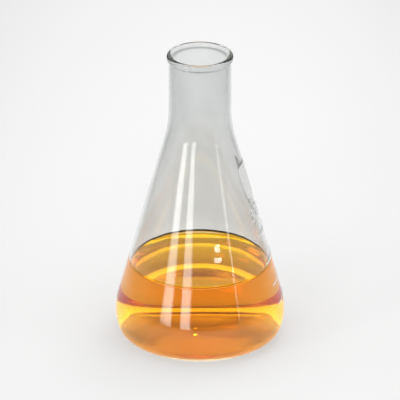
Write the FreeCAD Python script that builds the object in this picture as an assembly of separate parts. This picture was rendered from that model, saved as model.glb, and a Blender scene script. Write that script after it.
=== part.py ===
import FreeCAD, Part  # FreeCAD has to be loaded before Part
import math
import os

# A narrow-necked conical (Erlenmeyer) flask of 300 ml nominal capacity, with an amber liquid in it.
#
# Lengths are in millimetres, with +Z up. The origin is the middle of the foot ring, on the surface that
# the flask stands on. The printed scale faces +X, so +Y is to its reader's right.
#
# The vessel is one blown piece of borosilicate glass. Its section is a chain of tangent arcs and straight
# lines in the (radius, height) plane, turned about Z. The liquid fills the inside up to its level, with a
# meniscus at the glass. The printing is fired white enamel, and follows the outer face of the glass.

Vec = FreeCAD.Vector

# Outer shape of the vessel
HEIGHT = 156.0
BODY_DIAMETER = 87.0
NECK_DIAMETER = 32.0
RIM_DIAMETER = 34.0
NECK_LENGTH = 30.0  # from the end of the shoulder to the top of the rim
SHOULDER_RADIUS = 60.0  # hollow curve between the cone and the neck
BELLY_RADIUS = 28.0  # curve of the side where it is widest
BELLY_HEIGHT = 14.0  # height where the side is widest
HEEL_RADIUS = 9.0  # corner between the base and the side
FOOT_INNER_RADIUS = 28.5  # inner edge of the flat foot ring
FOOT_ROUNDING = 10.0  # curve from the foot ring up into the hollow of the base
PUSH_UP = 2.2  # depth of the hollow at the middle of the base

# Glass, thinnest at the belly
BELLY_WALL = 1.5
NECK_WALL = 2.0
BASE_THICKNESS = 2.4
HEEL_INNER_RADIUS = 7.0

# Rim bead: a round top, a short upright side, and an S-shaped return to the neck
BEAD_SIDE = 0.6
BEAD_UNDER_RADIUS = 1.6
BEAD_FILLET_RADIUS = 3.0

# Liquid
LIQUID_LEVEL = 40.0
MENISCUS_RISE = 1.8
MENISCUS_WIDTH = 2.6

# Printing
ENAMEL = 0.10
SCALE_MILLILITRES = (100, 150, 200, 250)
NOMINAL_MILLILITRES = 300
LINE_LEFT, LINE_RIGHT = -13.0, 2.0
LINE_HEIGHT = 0.7
NUMERAL_LEFT = 4.0
NUMERAL_HEIGHT = 4.6
CAPACITY_LEFT, CAPACITY_BASE = -13.4, 68.0
CAPACITY_HEIGHT = 6.0
SPOT_WIDTH, SPOT_LOW, SPOT_HIGH, SPOT_CORNER = 21.0, 79.0, 97.0, 3.0
STROKE_SHARE = 0.12  # stroke width as a share of the character's height
ADVANCE_SHARE = 0.82  # step from one character to the next, as a share of the height

BODY_RADIUS = BODY_DIAMETER / 2
NECK_RADIUS = NECK_DIAMETER / 2
RIM_RADIUS = RIM_DIAMETER / 2
BORE_RADIUS = NECK_RADIUS - NECK_WALL
BELLY_CENTRE = (BODY_RADIUS - BELLY_RADIUS, BELLY_HEIGHT)
SHOULDER_CENTRE = (NECK_RADIUS + SHOULDER_RADIUS, HEIGHT - NECK_LENGTH)
INNER_BOTTOM = PUSH_UP + BASE_THICKNESS  # height of the inner face on the axis

# Characters are strokes in a box that is one unit high. A stroke is a list of pieces, each a straight run
# between two points or an arc through three.
CHARACTERS = {
    " ": [],
    "0": [
        [
            ((0, 0.3), (0, 0.7)),
            ((0, 0.7), (0.3, 1), (0.6, 0.7)),
            ((0.6, 0.7), (0.6, 0.3)),
            ((0.6, 0.3), (0.3, 0), (0, 0.3)),
        ]
    ],
    "1": [[((0.1, 0.78), (0.36, 1)), ((0.36, 1), (0.36, 0))]],
    "2": [[((0.03, 0.74), (0.3, 1), (0.55, 0.58)), ((0.55, 0.58), (0, 0)), ((0, 0), (0.6, 0))]],
    "3": [[((0.04, 0.84), (0.53, 0.77), (0.24, 0.54))], [((0.24, 0.54), (0.6, 0.28), (0.02, 0.14))]],
    "5": [[((0.55, 1), (0.1, 1)), ((0.1, 1), (0.05, 0.56)), ((0.05, 0.56), (0.58, 0.36), (0.02, 0.12))]],
    "m": [
        [((0, 0), (0, 0.42)), ((0, 0.42), (0.17, 0.62), (0.34, 0.42)), ((0.34, 0.42), (0.34, 0))],
        [((0.34, 0), (0.34, 0.42)), ((0.34, 0.42), (0.51, 0.62), (0.68, 0.42)), ((0.68, 0.42), (0.68, 0))],
    ],
    "l": [[((0.2, 1), (0.2, 0.15)), ((0.2, 0.15), (0.24, 0.04), (0.35, 0))]],
}


def cone_angle(belly, shoulder):
    """Half angle of the cone, whose side is the crossed tangent of the belly and shoulder circles."""
    across = SHOULDER_CENTRE[0] - BELLY_CENTRE[0]
    up = SHOULDER_CENTRE[1] - BELLY_CENTRE[1]
    return math.asin((belly + shoulder) / math.hypot(across, up)) - math.atan2(across, up)


def polar(centre, radius, angle):
    """The point of a circle at an angle from the +radius direction, in the section."""
    return (centre[0] + radius * math.cos(angle), centre[1] + radius * math.sin(angle))


def place(point):
    """A (radius, height) point of the section as a point of the XZ plane."""
    return Vec(point[0], 0, point[1])


def line(start, end):
    return Part.LineSegment(place(start), place(end)).toShape()


def arc(centre, radius, start_angle, end_angle):
    """An arc of the section between two angles, by way of its middle."""
    angles = (start_angle, (start_angle + end_angle) / 2, end_angle)
    return Part.Arc(*(place(polar(centre, radius, angle)) for angle in angles)).toShape()


def turn_section(edges):
    """The solid swept by a closed section in one full turn about Z."""
    wire = Part.Wire(Part.__sortEdges__(edges))
    return Part.Face(wire).revolve(Vec(0, 0, 0), Vec(0, 0, 1), 360)


def side_edges(belly_depth, neck_depth, heel_radius, floor):
    """Heel, belly, cone and shoulder as tangent edges from the floor to the neck.

    The side lies below the glass's outer face by one depth at the belly and another at the neck. Returns
    the edges, and the radius at which the heel leaves the floor.
    """
    belly = BELLY_RADIUS - belly_depth
    shoulder = SHOULDER_RADIUS + neck_depth
    angle = cone_angle(belly, shoulder)
    heel_height = floor + heel_radius
    drop = BELLY_CENTRE[1] - heel_height
    heel_centre = (BELLY_CENTRE[0] + math.sqrt((belly - heel_radius) ** 2 - drop**2), heel_height)
    join = math.atan2(heel_height - BELLY_CENTRE[1], heel_centre[0] - BELLY_CENTRE[0])
    edges = [
        arc(heel_centre, heel_radius, -math.pi / 2, join),
        arc(BELLY_CENTRE, belly, join, angle),
        line(polar(BELLY_CENTRE, belly, angle), polar(SHOULDER_CENTRE, shoulder, math.pi + angle)),
        arc(SHOULDER_CENTRE, shoulder, math.pi + angle, math.pi),
    ]
    return edges, heel_centre[0]


def outer_side():
    return side_edges(0.0, 0.0, HEEL_RADIUS, 0.0)


def inner_side():
    return side_edges(BELLY_WALL, NECK_WALL, HEEL_INNER_RADIUS, BASE_THICKNESS)


def base_edges(thickness, heel_start):
    """The base from the axis to the heel: a dome, the rounding of the foot and the flat ring."""
    rise = PUSH_UP - FOOT_ROUNDING
    dome = (FOOT_INNER_RADIUS**2 + rise**2 - FOOT_ROUNDING**2) / (2 * (FOOT_ROUNDING + rise))
    dome_centre = (0.0, PUSH_UP - dome)
    foot_centre = (FOOT_INNER_RADIUS, FOOT_ROUNDING)
    join = math.atan2(foot_centre[1] - dome_centre[1], foot_centre[0])
    return [
        arc(dome_centre, dome + thickness, math.pi / 2, join),
        arc(foot_centre, FOOT_ROUNDING - thickness, join - math.pi, -math.pi / 2),
        line((FOOT_INNER_RADIUS, thickness), (heel_start, thickness)),
    ]


def neck_edges():
    """The neck's outer face, the rim bead and the bore, down to the end of the shoulder."""
    top_radius = (RIM_RADIUS - BORE_RADIUS) / 2
    top_centre = (BORE_RADIUS + top_radius, HEIGHT - top_radius)
    side_end = top_centre[1] - BEAD_SIDE
    under_centre = (RIM_RADIUS - BEAD_UNDER_RADIUS, side_end)
    turn = math.acos(1 - (RIM_RADIUS - NECK_RADIUS) / (BEAD_UNDER_RADIUS + BEAD_FILLET_RADIUS))
    fillet_height = side_end - (BEAD_UNDER_RADIUS + BEAD_FILLET_RADIUS) * math.sin(turn)
    fillet_centre = (NECK_RADIUS + BEAD_FILLET_RADIUS, fillet_height)
    neck_foot = SHOULDER_CENTRE[1]
    return [
        line((NECK_RADIUS, neck_foot), (NECK_RADIUS, fillet_height)),
        arc(fillet_centre, BEAD_FILLET_RADIUS, math.pi, math.pi - turn),
        arc(under_centre, BEAD_UNDER_RADIUS, -turn, 0),
        line((RIM_RADIUS, side_end), (RIM_RADIUS, top_centre[1])),
        arc(top_centre, top_radius, 0, math.pi),
        line((BORE_RADIUS, top_centre[1]), (BORE_RADIUS, neck_foot)),
    ]


def glass_flask():
    outside, outer_heel = outer_side()
    inside, inner_heel = inner_side()
    base = base_edges(0.0, outer_heel) + base_edges(BASE_THICKNESS, inner_heel)
    axis = line((0, PUSH_UP), (0, INNER_BOTTOM))
    return turn_section([axis] + base + outside + neck_edges() + inside)


def inside_space():
    """The whole space inside the glass, up to the foot of the neck."""
    inside, inner_heel = inner_side()
    top = SHOULDER_CENTRE[1]
    closing = [line((BORE_RADIUS, top), (0, top)), line((0, top), (0, INNER_BOTTOM))]
    return turn_section(base_edges(BASE_THICKNESS, inner_heel) + inside + closing)


def liquid():
    """The inside of the glass below the level, with the surface drawn up at the wall."""
    inside, inner_heel = inner_side()
    heel, belly = inside[:2]
    angle = cone_angle(BELLY_RADIUS - BELLY_WALL, SHOULDER_RADIUS + NECK_WALL)
    cone_foot = polar(BELLY_CENTRE, BELLY_RADIUS - BELLY_WALL, angle)
    wall_height = LIQUID_LEVEL + MENISCUS_RISE
    wall_radius = cone_foot[0] - (wall_height - cone_foot[1]) * math.tan(angle)
    flat_radius = wall_radius - MENISCUS_WIDTH
    # The meniscus is one arc that starts level with the flat surface and ends at the glass.
    curve = (MENISCUS_WIDTH**2 + MENISCUS_RISE**2) / (2 * MENISCUS_RISE)
    climb = math.asin(MENISCUS_WIDTH / curve)
    curve_centre = (flat_radius, LIQUID_LEVEL + curve)
    edges = base_edges(BASE_THICKNESS, inner_heel) + [
        heel,
        belly,
        line(cone_foot, (wall_radius, wall_height)),
        arc(curve_centre, curve, climb - math.pi / 2, -math.pi / 2),
        line((flat_radius, LIQUID_LEVEL), (0, LIQUID_LEVEL)),
        line((0, LIQUID_LEVEL), (0, INNER_BOTTOM)),
    ]
    return turn_section(edges)


def level_of(millilitres, space):
    """Height of the surface of this volume of liquid in the space, found by halving."""
    low, high = BASE_THICKNESS, HEIGHT - NECK_LENGTH
    while high - low > 0.01:
        middle = (low + high) / 2
        below = space.common(Part.makeCylinder(BODY_DIAMETER, middle))
        if below.Volume < millilitres * 1000.0:
            low = middle
        else:
            high = middle
    return (low + high) / 2


def enamel_skin():
    """A thin shell over the belly and the cone, from which the printing is cut."""
    angle = cone_angle(BELLY_RADIUS, SHOULDER_RADIUS)
    under, over = BELLY_RADIUS, BELLY_RADIUS + ENAMEL
    top = polar(SHOULDER_CENTRE, SHOULDER_RADIUS, math.pi + angle)
    top_over = polar(SHOULDER_CENTRE, SHOULDER_RADIUS - ENAMEL, math.pi + angle)
    edges = [
        line(polar(BELLY_CENTRE, over, 0), polar(BELLY_CENTRE, under, 0)),
        arc(BELLY_CENTRE, under, 0, angle),
        line(polar(BELLY_CENTRE, under, angle), top),
        line(top, top_over),
        line(top_over, polar(BELLY_CENTRE, over, angle)),
        arc(BELLY_CENTRE, over, angle, 0),
    ]
    return turn_section(edges)


def upright(shape):
    """A shape drawn in the XY plane, stood up in the YZ plane to be read from +X."""
    turned = shape.copy()
    turned.Placement = FreeCAD.Placement(Vec(0, 0, 0), FreeCAD.Rotation(Vec(1, 1, 1), 120))
    return turned


def printed(face, skin):
    """The enamel in front of a face that stands in the YZ plane."""
    return face.extrude(Vec(BODY_DIAMETER, 0, 0)).common(skin)


def stroke_face(stroke, left, base, height):
    """A stroke of even width with round ends."""
    edges = []
    for piece in stroke:
        points = [Vec(left + across * height, base + up * height, 0) for across, up in piece]
        curve = Part.LineSegment(*points) if len(points) == 2 else Part.Arc(*points)
        edges.append(curve.toShape())
    wire = Part.Wire(edges)
    half_width = STROKE_SHARE * height / 2
    face = Part.Face(wire.makeOffset2D(half_width))
    if wire.isClosed():
        face = face.cut(Part.Face(wire.makeOffset2D(-half_width)))
    return upright(face)


def text(words, left, base, height, skin):
    """Printed characters, one solid each."""
    solids = []
    for count, character in enumerate(words):
        start = left + count * ADVANCE_SHARE * height
        strokes = [printed(stroke_face(s, start, base, height), skin) for s in CHARACTERS[character]]
        if strokes:
            joined = strokes[0].fuse(strokes[1:]) if len(strokes) > 1 else strokes[0]
            solids += joined.removeSplitter().Solids
    return solids


def rounded_rectangle(left, right, low, high, corner):
    """A rectangle with round corners."""
    corners = [
        Vec(left + corner, low + corner, 0),
        Vec(right - corner, low + corner, 0),
        Vec(right - corner, high - corner, 0),
        Vec(left + corner, high - corner, 0),
    ]
    wire = Part.makePolygon(corners + corners[:1])
    return upright(Part.Face(wire.makeOffset2D(corner)))


def graduation_lines(levels, skin):
    """One line for each volume, with its middle at the level and nearly round ends."""
    half = LINE_HEIGHT / 2
    faces = [rounded_rectangle(LINE_LEFT, LINE_RIGHT, z - half, z + half, 0.98 * half) for z in levels]
    return [solid for face in faces for solid in printed(face, skin).Solids]


def graduation_numerals(levels, skin):
    """The volume beside each line, and the nominal capacity above them."""
    solids = []
    for millilitres, level in zip(SCALE_MILLILITRES, levels):
        base = level - NUMERAL_HEIGHT / 2
        solids += text(str(millilitres), NUMERAL_LEFT, base, NUMERAL_HEIGHT, skin)
    capacity = f"{NOMINAL_MILLILITRES} ml"
    return solids + text(capacity, CAPACITY_LEFT, CAPACITY_BASE, CAPACITY_HEIGHT, skin)


def marking_spot(skin):
    """The matt field for a pencil note."""
    half = SPOT_WIDTH / 2
    return printed(rounded_rectangle(-half, half, SPOT_LOW, SPOT_HIGH, SPOT_CORNER), skin).Solids


def main():
    os.makedirs("parts", exist_ok=True)
    space = inside_space()
    levels = [level_of(millilitres, space) for millilitres in SCALE_MILLILITRES]
    skin = enamel_skin()
    parts = {
        "glass_flask": [glass_flask()],
        "liquid": [liquid()],
        "graduation_lines": graduation_lines(levels, skin),
        "graduation_numerals": graduation_numerals(levels, skin),
        "marking_spot": marking_spot(skin),
    }
    for name, solids in parts.items():
        shape = solids[0] if len(solids) == 1 else Part.makeCompound(solids)
        shape.exportStep(f"parts/{name}.step")
        volume = round(shape.Volume / 1000.0, 3)
        print(f"{name}: {len(solids)} solids, {volume} ml, valid {shape.isValid()}")
    angle = cone_angle(BELLY_RADIUS, SHOULDER_RADIUS)
    print("half angle of the cone:", round(math.degrees(angle), 2), "degrees")
    print("levels of the scale:", [round(level, 2) for level in levels])
    print("inside below the neck:", round(space.Volume / 1000.0, 1), "ml")


main()
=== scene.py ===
import math

import bmesh
import bpy
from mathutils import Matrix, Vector, noise


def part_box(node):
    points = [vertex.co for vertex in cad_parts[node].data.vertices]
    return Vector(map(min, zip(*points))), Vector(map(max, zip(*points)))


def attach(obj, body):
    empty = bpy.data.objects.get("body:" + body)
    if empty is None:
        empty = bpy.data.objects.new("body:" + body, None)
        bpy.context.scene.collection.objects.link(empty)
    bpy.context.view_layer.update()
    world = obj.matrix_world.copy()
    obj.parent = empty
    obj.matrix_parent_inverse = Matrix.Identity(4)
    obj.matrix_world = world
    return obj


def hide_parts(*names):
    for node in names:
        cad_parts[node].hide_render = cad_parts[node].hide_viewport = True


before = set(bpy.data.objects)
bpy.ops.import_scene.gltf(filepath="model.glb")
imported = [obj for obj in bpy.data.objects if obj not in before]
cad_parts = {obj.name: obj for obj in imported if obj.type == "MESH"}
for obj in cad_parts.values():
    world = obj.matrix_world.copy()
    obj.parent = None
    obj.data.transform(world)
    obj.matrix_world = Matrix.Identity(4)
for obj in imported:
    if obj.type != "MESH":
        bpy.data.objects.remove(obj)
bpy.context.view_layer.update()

# A 300 ml conical flask of clear borosilicate glass with an amber liquid in it, and white enamel printing
# on the side that faces +X. Sections are in millimetres, as (radius, height). Meshes are in metres.

MM = 0.001

# Section of the vessel
HEIGHT = 156.0
BODY_RADIUS = 43.5
NECK_RADIUS = 16.0
RIM_RADIUS = 17.0
NECK_LENGTH = 30.0
SHOULDER_RADIUS = 60.0
BELLY_RADIUS = 28.0
BELLY_HEIGHT = 14.0
HEEL_RADIUS = 9.0
FOOT_INNER_RADIUS = 28.5
FOOT_ROUNDING = 10.0
PUSH_UP = 2.2
BELLY_WALL = 1.5
NECK_WALL = 2.0
BASE_THICKNESS = 2.4
HEEL_INNER_RADIUS = 7.0
BEAD_SIDE = 0.6
BEAD_UNDER_RADIUS = 1.6
BEAD_FILLET_RADIUS = 3.0
LIQUID_LEVEL = 40.0
MENISCUS_RISE = 1.8
MENISCUS_WIDTH = 2.6

BORE_RADIUS = NECK_RADIUS - NECK_WALL
BELLY_CENTRE = (BODY_RADIUS - BELLY_RADIUS, BELLY_HEIGHT)
SHOULDER_CENTRE = (NECK_RADIUS + SHOULDER_RADIUS, HEIGHT - NECK_LENGTH)

# The liquid's mesh reaches this far into the glass, so that no air shows between them.
WETTING = 0.3
# Its highest points are in the glass, this far above the line where the meniscus meets the inner face.
EDGE_LAP = 0.25
# The next points down its side are at least this far below the highest, so that no face there is a sliver.
EDGE_GAP = 1.0

# The glass rises this far into the fired printing, so that they share no face.
FUSING = 0.04
PRINT_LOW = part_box("graduation_numerals")[0].z / MM
PRINT_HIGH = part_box("marking_spot")[1].z / MM
FUSING_FADE = 5.0

# The inner face is uneven from the lower belly up to the neck.
WAVES_START = 12.0
WAVES_FULL = 24.0
WAVES_FADE = 10.0
BROAD_WAVE = 0.09
STREAKY_WAVE = 0.03

# Points round a turned surface, and the spacing of the points along its section
SEGMENTS = 192
BASE_STEP = 2.0
FOOT_STEP = 0.7
FOOT_FLAT_STEP = 1.4
HEEL_STEP = 0.9
BELLY_STEP = 1.2
STRAIGHT_STEP = 2.2
SHOULDER_STEP = 1.5
FILLET_STEP = 0.35
RIM_STEP = 0.3
MENISCUS_STEP = 0.25
SURFACE_STEP = 2.5


# ---------------------------------------------------------------- sections

def cone_angle(belly, shoulder):
    """How far the cone leans inwards, between arcs of these two radii that it touches."""
    across = SHOULDER_CENTRE[0] - BELLY_CENTRE[0]
    up = SHOULDER_CENTRE[1] - BELLY_CENTRE[1]
    return math.asin((belly + shoulder) / math.hypot(across, up)) - math.atan2(across, up)


def polar(centre, radius, angle):
    """The point of a circle at an angle."""
    return (centre[0] + radius * math.cos(angle), centre[1] + radius * math.sin(angle))


def arc(centre, radius, start, end, step):
    """Points about a step apart, from one angle to another."""
    count = max(3, math.ceil(abs(end - start) * radius / step))
    return [polar(centre, radius, start + (end - start) * i / count) for i in range(count + 1)]


def line(start, end, step):
    """Points about a step apart, from one point to another."""
    count = max(1, math.ceil(math.dist(start, end) / step))
    return [tuple(a + (b - a) * i / count for a, b in zip(start, end)) for i in range(count + 1)]


def joined(*runs):
    """The runs end to end, with the points that they share kept once."""
    points = []
    for run in runs:
        for point in run:
            if not points or math.dist(points[-1], point) > 1e-4:
                points.append(point)
    return points


def base_run(thickness, heel_start):
    """From the axis to the heel: the dome, the rounding of the foot and the flat ring."""
    rise = PUSH_UP - FOOT_ROUNDING
    dome = (FOOT_INNER_RADIUS**2 + rise**2 - FOOT_ROUNDING**2) / (2 * (FOOT_ROUNDING + rise))
    dome_centre = (0.0, PUSH_UP - dome)
    foot_centre = (FOOT_INNER_RADIUS, FOOT_ROUNDING)
    join = math.atan2(foot_centre[1] - dome_centre[1], foot_centre[0])
    return joined(
        arc(dome_centre, dome + thickness, math.pi / 2, join, BASE_STEP),
        arc(foot_centre, FOOT_ROUNDING - thickness, join - math.pi, -math.pi / 2, FOOT_STEP),
        line((FOOT_INNER_RADIUS, thickness), (heel_start, thickness), FOOT_FLAT_STEP),
    )


def side_run(belly_depth, neck_depth, heel_radius, floor):
    """Heel, belly, cone and shoulder, and the radius at which the heel leaves the floor."""
    belly = BELLY_RADIUS - belly_depth
    shoulder = SHOULDER_RADIUS + neck_depth
    angle = cone_angle(belly, shoulder)
    heel_height = floor + heel_radius
    drop = BELLY_CENTRE[1] - heel_height
    heel_centre = (BELLY_CENTRE[0] + math.sqrt((belly - heel_radius) ** 2 - drop**2), heel_height)
    join = math.atan2(heel_height - BELLY_CENTRE[1], heel_centre[0] - BELLY_CENTRE[0])
    cone_foot = polar(BELLY_CENTRE, belly, angle)
    cone_top = polar(SHOULDER_CENTRE, shoulder, math.pi + angle)
    run = joined(
        arc(heel_centre, heel_radius, -math.pi / 2, join, HEEL_STEP),
        arc(BELLY_CENTRE, belly, join, angle, BELLY_STEP),
        line(cone_foot, cone_top, STRAIGHT_STEP),
        arc(SHOULDER_CENTRE, shoulder, math.pi + angle, math.pi, SHOULDER_STEP),
    )
    return run, heel_centre[0]


def neck_run():
    """Up the outside of the neck, over the rim bead and down the bore."""
    top_radius = (RIM_RADIUS - BORE_RADIUS) / 2
    top_centre = (BORE_RADIUS + top_radius, HEIGHT - top_radius)
    side_end = top_centre[1] - BEAD_SIDE
    under_centre = (RIM_RADIUS - BEAD_UNDER_RADIUS, side_end)
    turn = math.acos(1 - (RIM_RADIUS - NECK_RADIUS) / (BEAD_UNDER_RADIUS + BEAD_FILLET_RADIUS))
    fillet_height = side_end - (BEAD_UNDER_RADIUS + BEAD_FILLET_RADIUS) * math.sin(turn)
    fillet_centre = (NECK_RADIUS + BEAD_FILLET_RADIUS, fillet_height)
    neck_foot = SHOULDER_CENTRE[1]
    return joined(
        line((NECK_RADIUS, neck_foot), (NECK_RADIUS, fillet_height), STRAIGHT_STEP),
        arc(fillet_centre, BEAD_FILLET_RADIUS, math.pi, math.pi - turn, FILLET_STEP),
        arc(under_centre, BEAD_UNDER_RADIUS, -turn, 0, RIM_STEP),
        line((RIM_RADIUS, side_end), (RIM_RADIUS, top_centre[1]), RIM_STEP),
        arc(top_centre, top_radius, 0, math.pi, RIM_STEP),
        line((BORE_RADIUS, top_centre[1]), (BORE_RADIUS, neck_foot), STRAIGHT_STEP),
    )


def share(value, start, end):
    """0 before the start, 1 after the end and in proportion between them."""
    return min(1.0, max(0.0, (value - start) / (end - start)))


def wall_waviness(angle, height):
    """How far the inner face strays from its section: blown glass is a little uneven."""
    x, y = math.cos(angle), math.sin(angle)
    broad = noise.noise(Vector((1.6 * x, 1.6 * y, height / 34.0)))
    streaky = noise.noise(Vector((4.5 * x + 7.0, 4.5 * y, height / 60.0)))
    return BROAD_WAVE * broad + STREAKY_WAVE * streaky


# ---------------------------------------------------------------- meshes

def bridge(mesh, lower, upper):
    """Faces between two rings of points, either of which can be the single point at a centre."""
    count = max(len(lower), len(upper))
    for k in range(count):
        after = (k + 1) % count
        if len(lower) == 1:
            corners = (lower[0], upper[k], upper[after])
        elif len(upper) == 1:
            corners = (lower[k], upper[0], lower[after])
        else:
            corners = (lower[k], upper[k], upper[after], lower[after])
        mesh.faces.new(corners)


def smooth_object(name, mesh):
    """The finished mesh as an object of the scene."""
    data = bpy.data.meshes.new(name)
    mesh.to_mesh(data)
    mesh.free()
    data.shade_smooth()
    made = bpy.data.objects.new(name, data)
    bpy.context.scene.collection.objects.link(made)
    return made


def lathe(name, section, shift=None):
    """A closed surface turned about Z, from a section that starts and ends on the axis.

    shift(index, angle, height) moves a point of that ring outwards, where given.
    """
    mesh = bmesh.new()
    rings = []
    for index, (radius, height) in enumerate(section):
        if radius < 1e-6:
            rings.append([mesh.verts.new((0, 0, height * MM))])
            continue
        ring = []
        for k in range(SEGMENTS):
            angle = 2 * math.pi * k / SEGMENTS
            reach = radius + (shift(index, angle, height) if shift else 0.0)
            point = (reach * math.cos(angle) * MM, reach * math.sin(angle) * MM, height * MM)
            ring.append(mesh.verts.new(point))
        rings.append(ring)
    for lower, upper in zip(rings, rings[1:]):
        bridge(mesh, lower, upper)
    bmesh.ops.recalc_face_normals(mesh, faces=mesh.faces)
    return smooth_object(name, mesh)


def make_vessel():
    """The glass: outside from the axis to the rim, then down the bore and back to the axis."""
    outside, outer_heel = side_run(0.0, 0.0, HEEL_RADIUS, 0.0)
    inside, inner_heel = side_run(BELLY_WALL, NECK_WALL, HEEL_INNER_RADIUS, BASE_THICKNESS)
    outer = joined(base_run(0.0, outer_heel), outside, neck_run())
    inner = joined(inside[::-1], base_run(BASE_THICKNESS, inner_heel)[::-1])
    section = joined(outer, inner)
    first_inner = len(outer)
    neck_foot = SHOULDER_CENTRE[1]

    def shift(index, angle, height):
        if index < first_inner:
            above = share(height, PRINT_LOW - FUSING_FADE, PRINT_LOW)
            below = share(height, PRINT_HIGH + FUSING_FADE, PRINT_HIGH)
            return FUSING * above * below
        above = share(height, WAVES_START, WAVES_FULL)
        below = share(height, neck_foot, neck_foot - WAVES_FADE)
        return above * below * wall_waviness(angle, height)

    return lathe("vessel", section, shift)


def make_fill():
    """The liquid up to its level, a little larger than the inside of the glass."""
    belly_depth = BELLY_WALL - WETTING
    neck_depth = NECK_WALL - WETTING
    floor = BASE_THICKNESS - WETTING
    inside, inner_heel = side_run(belly_depth, neck_depth, HEEL_INNER_RADIUS + WETTING, floor)
    belly = BELLY_RADIUS - belly_depth
    angle = cone_angle(belly, SHOULDER_RADIUS + neck_depth)
    cone_foot = polar(BELLY_CENTRE, belly, angle)
    # The meniscus is one arc that starts level with the flat surface and climbs the glass.
    curve = (MENISCUS_WIDTH**2 + MENISCUS_RISE**2) / (2 * MENISCUS_RISE)
    climb = math.asin(MENISCUS_WIDTH / curve)
    inner_angle = cone_angle(BELLY_RADIUS - BELLY_WALL, SHOULDER_RADIUS + NECK_WALL)
    inner_foot = polar(BELLY_CENTRE, BELLY_RADIUS - BELLY_WALL, inner_angle)
    edge_height = LIQUID_LEVEL + MENISCUS_RISE
    edge_radius = inner_foot[0] - (edge_height - inner_foot[1]) * math.tan(inner_angle)
    flat_radius = edge_radius - MENISCUS_WIDTH
    curve_centre = (flat_radius, LIQUID_LEVEL + curve)
    contact = polar(curve_centre, curve, climb - math.pi / 2)
    top_height = edge_height + EDGE_LAP
    top = (cone_foot[0] - (top_height - cone_foot[1]) * math.tan(angle), top_height)
    below = [p for p in inside if p[1] < top_height - EDGE_GAP and p[0] > top[0]]
    section = joined(
        base_run(floor, inner_heel),
        below,
        [top, contact],
        arc(curve_centre, curve, climb - math.pi / 2, -math.pi / 2, MENISCUS_STEP),
        line((flat_radius, LIQUID_LEVEL), (0, LIQUID_LEVEL), SURFACE_STEP),
    )
    return lathe("amber_fill", section)


# ---------------------------------------------------------------- nodes

def new_material(name):
    """A new material, its node tree, its shader and its output."""
    material = bpy.data.materials.new(name)
    material.use_nodes = True
    tree = material.node_tree
    return material, tree, tree.nodes["Principled BSDF"], tree.nodes["Material Output"]


def object_place(tree):
    """The place in the object's own coordinates, in metres."""
    return tree.nodes.new("ShaderNodeTexCoord").outputs["Object"]


def calculation(tree, kind, operation, *values):
    """A node that works on plain values and on other nodes' results."""
    node = tree.nodes.new(kind)
    node.operation = operation
    for socket, value in zip(node.inputs, values):
        if isinstance(value, bpy.types.NodeSocket):
            tree.links.new(value, socket)
        else:
            socket.default_value = value
    return node


def maths(tree, operation, *values):
    return calculation(tree, "ShaderNodeMath", operation, *values).outputs["Value"]


def noise_texture(tree, scale, stretch=(1, 1, 1), **values):
    """Noise in the object's own coordinates, stretched by axis."""
    mapping = tree.nodes.new("ShaderNodeMapping")
    mapping.inputs["Scale"].default_value = stretch
    node = tree.nodes.new("ShaderNodeTexNoise")
    node.inputs["Scale"].default_value = scale
    for socket, value in values.items():
        node.inputs[socket].default_value = value
    tree.links.new(object_place(tree), mapping.inputs["Vector"])
    tree.links.new(mapping.outputs["Vector"], node.inputs["Vector"])
    return node.outputs["Fac"]


def ramp(tree, factor, stops):
    """A colour that changes with the factor, through stops of (position, colour)."""
    node = tree.nodes.new("ShaderNodeValToRGB")
    elements = node.color_ramp.elements
    elements[0].position, elements[0].color = stops[0][0], (*stops[0][1], 1)
    elements[1].position, elements[1].color = stops[-1][0], (*stops[-1][1], 1)
    for position, colour in stops[1:-1]:
        elements.new(position).color = (*colour, 1)
    tree.links.new(factor, node.inputs["Fac"])
    return node.outputs["Color"]


def spread(tree, factor, low, high):
    """The factor, from 0 to 1, as a number from low to high."""
    node = tree.nodes.new("ShaderNodeMapRange")
    node.inputs["To Min"].default_value = low
    node.inputs["To Max"].default_value = high
    tree.links.new(factor, node.inputs["Value"])
    return node.outputs["Result"]


def smooth_step(tree, factor, start, end, low, high):
    """A soft change from low to high as the factor goes from start to end."""
    node = tree.nodes.new("ShaderNodeMapRange")
    node.interpolation_type = "SMOOTHSTEP"
    for socket, value in (("From Min", start), ("From Max", end), ("To Min", low), ("To Max", high)):
        node.inputs[socket].default_value = value
    tree.links.new(factor, node.inputs["Value"])
    return node.outputs["Result"]


def blend(tree, factor, first, second):
    """The first colour where the factor is 0 and the second where it is 1."""
    node = tree.nodes.new("ShaderNodeMixRGB")
    tree.links.new(factor, node.inputs["Fac"])
    tree.links.new(first, node.inputs["Color1"])
    tree.links.new(second, node.inputs["Color2"])
    return node.outputs["Color"]


def bump(tree, shader, height, strength, distance):
    """Makes the surface look raised by the height, from 0 to 1, times the distance in metres."""
    node = tree.nodes.new("ShaderNodeBump")
    node.inputs["Strength"].default_value = strength
    node.inputs["Distance"].default_value = distance
    tree.links.new(height, node.inputs["Height"])
    tree.links.new(node.outputs["Normal"], shader.inputs["Normal"])


def absorption(tree, output, per_metre):
    """Light lost for each metre of depth, in red, green and blue."""
    node = tree.nodes.new("ShaderNodeVolumeAbsorption")
    # The node loses density times (1 - colour), and the lowest of the three colours here is 0.05.
    density = max(per_metre) / 0.95
    node.inputs["Density"].default_value = density
    node.inputs["Color"].default_value = (*[1 - loss / density for loss in per_metre], 1)
    tree.links.new(node.outputs["Volume"], output.inputs["Volume"])


# ---------------------------------------------------------------- materials

GLASS_IOR = 1.473
GLASS_LOSS = (10.0, 8.6, 9.2)
LIQUID_IOR = 1.34
LIQUID_LOSS = (0.3, 15.5, 130.0)

# Above the liquid the glass is painted a darker grey, a painted reflection of grey surroundings. It starts
# this far below the level and is full this far above it.
PAINTED_GREY_BELOW = 0.004
PAINTED_GREY_ABOVE = 0.012


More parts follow.
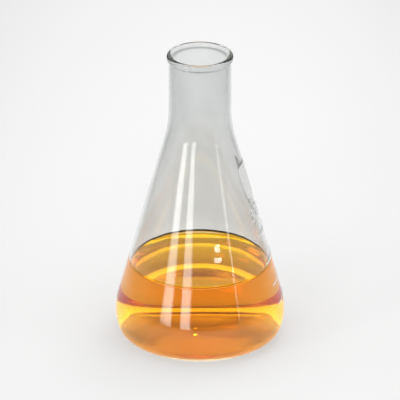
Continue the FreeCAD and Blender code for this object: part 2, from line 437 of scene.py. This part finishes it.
def glass_material():
    """Clear borosilicate glass, drawn upwards, with faint waves and smudges, and painted darker grey where
    it is dry as a painted reflection of grey surroundings.
    """
    material, tree, shader, output = new_material("borosilicate_glass")
    shader.inputs["Transmission Weight"].default_value = 1.0
    shader.inputs["IOR"].default_value = GLASS_IOR
    smudges = noise_texture(tree, 38.0, (1, 1, 0.6), Detail=5.0, Roughness=0.62)
    wet = ramp(tree, smudges, [(0.3, (0.93, 0.94, 0.937)), (0.62, (0.975, 0.98, 0.976))])
    # The colour above the level is a darker grey: a painted reflection of grey surroundings.
    dry_painted_grey = ramp(tree, smudges, [(0.3, (0.79, 0.805, 0.80)), (0.62, (0.87, 0.877, 0.872))])
    parts = tree.nodes.new("ShaderNodeSeparateXYZ")
    tree.links.new(object_place(tree), parts.inputs["Vector"])
    level = LIQUID_LEVEL * MM
    # The painted grey reflection takes over by height, from just below the liquid level.
    painted_grey_share = smooth_step(tree, parts.outputs["Z"], level - PAINTED_GREY_BELOW, level + PAINTED_GREY_ABOVE, 0, 1)
    tree.links.new(blend(tree, painted_grey_share, wet, dry_painted_grey), shader.inputs["Base Color"])
    patches = ramp(tree, smudges, [(0.5, (0, 0, 0)), (0.75, (1, 1, 1))])
    tree.links.new(spread(tree, patches, 0.0, 0.035), shader.inputs["Roughness"])
    drawn = noise_texture(tree, 95.0, (1, 1, 0.12), Detail=2.0, Roughness=0.4)
    bump(tree, shader, drawn, strength=0.10, distance=0.0006)
    absorption(tree, output, GLASS_LOSS)
    return material


def liquid_material():
    """Clear amber liquid, a little uneven in colour."""
    material, tree, shader, output = new_material("amber_liquid")
    shader.inputs["Transmission Weight"].default_value = 1.0
    shader.inputs["IOR"].default_value = LIQUID_IOR
    shader.inputs["Roughness"].default_value = 0.0
    # Next to glass the liquid mirrors hardly anything, so its head-on mirroring is cut.
    shader.inputs["Specular Tint"].default_value = (0.3, 0.3, 0.3, 1)
    cloud = noise_texture(tree, 26.0, Detail=3.0, Roughness=0.5)
    tint = ramp(tree, cloud, [(0.3, (1.0, 0.97, 0.90)), (0.7, (1.0, 1.0, 0.98))])
    tree.links.new(tint, shader.inputs["Base Color"])
    ripples = noise_texture(tree, 60.0, (1, 1, 0.2), Detail=1.0, Roughness=0.4)
    bump(tree, shader, ripples, strength=0.06, distance=0.001)
    absorption(tree, output, LIQUID_LOSS)
    return material


def enamel_material(name, low, high, roughness, grain, depth):
    """Fired white enamel: grainy, with thin spots."""
    material, tree, shader, _ = new_material(name)
    mottle = noise_texture(tree, 900.0, Detail=6.0, Roughness=0.65)
    tree.links.new(ramp(tree, mottle, [(0.35, low), (0.6, high)]), shader.inputs["Base Color"])
    tree.links.new(spread(tree, mottle, *roughness), shader.inputs["Roughness"])
    fine = noise_texture(tree, grain, Detail=3.0, Roughness=0.7)
    bump(tree, shader, fine, strength=0.35, distance=depth)
    return material


# The table is lit from below as well: centre, stretch, full out to, gone at, and radiance.
TABLE_LIGHTS = (
    ((0, 0, 0), (1, 0.24, 0), 0.065, 0.33, 0.35),  # a band along Y
    ((0, 0, 0), (1, 1, 0), 0.026, 0.041, 0.50),  # under the foot
    ((0, 0.050, 0), (1, 1, 0), 0.0, 0.042, 0.12),  # behind the foot, seen through the liquid
)


def floor_material():
    """Pale matt paper, with the light from below."""
    material, tree, shader, _ = new_material("studio_floor")
    paper = noise_texture(tree, 3.0, Detail=4.0, Roughness=0.5)
    pale = ramp(tree, paper, [(0.3, (0.80, 0.80, 0.80)), (0.7, (0.82, 0.82, 0.82))])
    tree.links.new(pale, shader.inputs["Base Color"])
    shader.inputs["Roughness"].default_value = 0.85
    shader.inputs["Specular IOR Level"].default_value = 0.2
    place = object_place(tree)
    total = None
    for centre, stretch, near, far, radiance in TABLE_LIGHTS:
        from_centre = calculation(tree, "ShaderNodeVectorMath", "SUBTRACT", place, centre)
        scaled = calculation(
            tree, "ShaderNodeVectorMath", "MULTIPLY", from_centre.outputs["Vector"], stretch
        )
        away = calculation(tree, "ShaderNodeVectorMath", "LENGTH", scaled.outputs["Vector"])
        glow = smooth_step(tree, away.outputs["Value"], near, far, radiance, 0)
        total = glow if total is None else maths(tree, "ADD", total, glow)
    shader.inputs["Emission Color"].default_value = (1.0, 1.0, 1.0, 1)
    tree.links.new(total, shader.inputs["Emission Strength"])
    return material


# ---------------------------------------------------------------- the pieces

vessel = make_vessel()
vessel.data.materials.append(glass_material())
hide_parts("glass_flask")
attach(vessel, "root")

fill = make_fill()
fill.data.materials.append(liquid_material())
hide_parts("liquid")
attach(fill, "root")

print_enamel = enamel_material(
    "print_enamel",
    low=(0.84, 0.85, 0.83),
    high=(0.95, 0.955, 0.94),
    roughness=(0.42, 0.62),
    grain=2600.0,
    depth=0.00004,
)
spot_enamel = enamel_material(
    "spot_enamel",
    low=(0.82, 0.825, 0.81),
    high=(0.93, 0.935, 0.92),
    roughness=(0.72, 0.92),
    grain=1800.0,
    depth=0.00008,
)
for name, material in (
    ("graduation_lines", print_enamel),
    ("graduation_numerals", print_enamel),
    ("marking_spot", spot_enamel),
):
    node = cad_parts[name]
    node.data.materials.clear()
    node.data.materials.append(material)


# ---------------------------------------------------------------- the stage

def make_floor(flat_rings, flat_radius, rim_radius, rim_height, rim_steps, segments):
    """A wide dish, flat around the flask, whose rim hides the horizon from a low camera."""
    width = rim_radius - flat_radius
    radii = [*flat_rings, *(flat_radius + width * i / rim_steps for i in range(rim_steps + 1))]
    mesh = bmesh.new()
    before = [mesh.verts.new((0, 0, 0))]
    for radius in radii:
        part = share(radius, flat_radius, rim_radius)
        height = rim_height * part * part * (3 - 2 * part)
        angles = [2 * math.pi * k / segments for k in range(segments)]
        ring = [mesh.verts.new((radius * math.cos(a), radius * math.sin(a), height)) for a in angles]
        bridge(mesh, before, ring)
        before = ring
    floor = smooth_object("floor", mesh)
    floor.data.materials.append(floor_material())


# A grid in front of each softbox keeps its light off the floor beside it, within this angle. The box fades
# over these shares of its width and height, at each edge.
GRID_SPREAD = 120.0
SIDE_MARGIN = 0.08
END_MARGIN = 0.24


def margin(tree, position, share_of_size):
    """1 inside a softbox, down to 0 at both its edges, where the position is 0 and 1."""
    off_middle = maths(tree, "ABSOLUTE", maths(tree, "SUBTRACT", position, 0.5))
    return smooth_step(tree, off_middle, 0.5 - share_of_size, 0.5, 1, 0)


def place_lamp(name, light, place, target):
    """A lamp that faces the target. The camera sees only its light and its reflection."""
    lamp = bpy.data.objects.new(name, light)
    lamp.location = place
    lamp.rotation_euler = (Vector(target) - Vector(place)).to_track_quat("-Z", "Y").to_euler()
    lamp.visible_camera = False
    bpy.context.scene.collection.objects.link(lamp)


def softbox(name, place, target, width, height, radiance):
    """An area light that fades towards its edges. Its power follows from its radiance and area."""
    light = bpy.data.lights.new(name, "AREA")
    light.shape = "RECTANGLE"
    light.size, light.size_y = width, height
    light.spread = math.radians(GRID_SPREAD)
    half = light.spread / 2
    light.energy = radiance * math.pi * width * height * (1 - half / math.tan(half))
    light.use_nodes = True
    tree = light.node_tree
    geometry = tree.nodes.new("ShaderNodeNewGeometry")
    parts = tree.nodes.new("ShaderNodeSeparateXYZ")
    tree.links.new(geometry.outputs["Parametric"], parts.inputs["Vector"])
    across = parts.outputs["Y"]
    along = maths(tree, "SUBTRACT", maths(tree, "SUBTRACT", 1.0, parts.outputs["X"]), across)
    faded = maths(tree, "MULTIPLY", margin(tree, across, SIDE_MARGIN), margin(tree, along, END_MARGIN))
    tree.links.new(faded, tree.nodes["Emission"].inputs["Strength"])
    place_lamp(name, light, place, target)


def glint(name, place, diameter, radiance):
    """A small lamp behind the flask that sparkles on the liquid."""
    light = bpy.data.lights.new(name, "AREA")
    light.shape = "DISK"
    light.size = diameter
    light.energy = radiance * math.pi * math.pi * diameter**2 / 4
    place_lamp(name, light, place, (0, 0, 0))


def make_world(bands, strength):
    """A soft surround whose brightness depends on the height above the horizon."""
    world = bpy.data.worlds.new("studio")
    world.use_nodes = True
    tree = world.node_tree
    background = tree.nodes["Background"]
    direction = tree.nodes.new("ShaderNodeTexCoord")
    parts = tree.nodes.new("ShaderNodeSeparateXYZ")
    tree.links.new(direction.outputs["Generated"], parts.inputs["Vector"])
    stops = [(math.sin(math.radians(degrees)), (value,) * 3) for degrees, value in bands]
    tree.links.new(ramp(tree, parts.outputs["Z"], stops), background.inputs["Color"])
    background.inputs["Strength"].default_value = strength
    bpy.context.scene.world = world


SENSOR_WIDTH = 36.0


def make_camera(elevation, distance, view_width, target):
    """A camera that looks along +Y and down, and sees the view's width at the target."""
    data = bpy.data.cameras.new("camera")
    data.sensor_width = SENSOR_WIDTH
    data.lens = SENSOR_WIDTH * distance / view_width
    data.clip_start, data.clip_end = 0.05, 60.0
    camera = bpy.data.objects.new("camera", data)
    angle = math.radians(elevation)
    back = Vector((0, -math.cos(angle), math.sin(angle)))
    camera.location = Vector(target) + back * distance
    camera.rotation_euler = (-back).to_track_quat("-Z", "Y").to_euler()
    bpy.context.scene.collection.objects.link(camera)
    bpy.context.scene.camera = camera


def left_of_camera(degrees, distance, height):
    """A place that many degrees round the flask from the camera's side, to the camera's left."""
    angle = math.radians(degrees)
    return (-math.sin(angle) * distance, -math.cos(angle) * distance, height)


# Degrees above the horizon and brightness. The dark band near the horizon is what the cone's front mirrors,
# and the dip at 24.5 degrees is what the liquid's surface mirrors.
SKY = (
    (0, 0.43),
    (0.4, 0.22),
    (9, 0.26),
    (13, 1.0),
    (21.5, 1.0),
    (24.5, 0.5),
    (27.5, 1.0),
    (36, 0.9),
    (48, 0.3),
    (90, 0.3),
)
SOFTBOX_TARGET = (0, 0, 0.3)

make_floor(
    flat_rings=(0.5, 1.5, 2.6), flat_radius=3.7, rim_radius=4.9, rim_height=0.2, rim_steps=12, segments=128
)
make_world(SKY, strength=1.1)
for name, degrees, distance, up, width, height, radiance in (
    ("window_wide", 46, 1.3, 0.55, 0.50, 1.05, 5.6),
    ("window_narrow", 18, 1.5, 0.55, 0.50, 1.05, 5.0),
    ("edge_strip", -55, 1.4, 0.55, 0.07, 1.0, 7.0),
    ("side_fill", -72, 1.4, 0.62, 0.45, 0.8, 2.4),
):
    softbox(name, left_of_camera(degrees, distance, up), SOFTBOX_TARGET, width, height, radiance)
softbox("overhead", (0.15, 0.55, 1.05), (0, 0.1, 0), width=0.9, height=0.7, radiance=2.0)
glint("glint_lamp", (0.028, 1.46, 0.712), diameter=0.015, radiance=22.0)
make_camera(elevation=24.5, distance=3.4, view_width=0.205, target=(0, 0, 0.0745))

scene = bpy.context.scene
scene.view_settings.view_transform = "Standard"
# With the usual 12 bounces, light that is reflected often in the glass and the liquid ends in black bands.
scene.cycles.max_bounces = 64
scene.cycles.transmission_bounces = 64
scene.cycles.glossy_bounces = 32
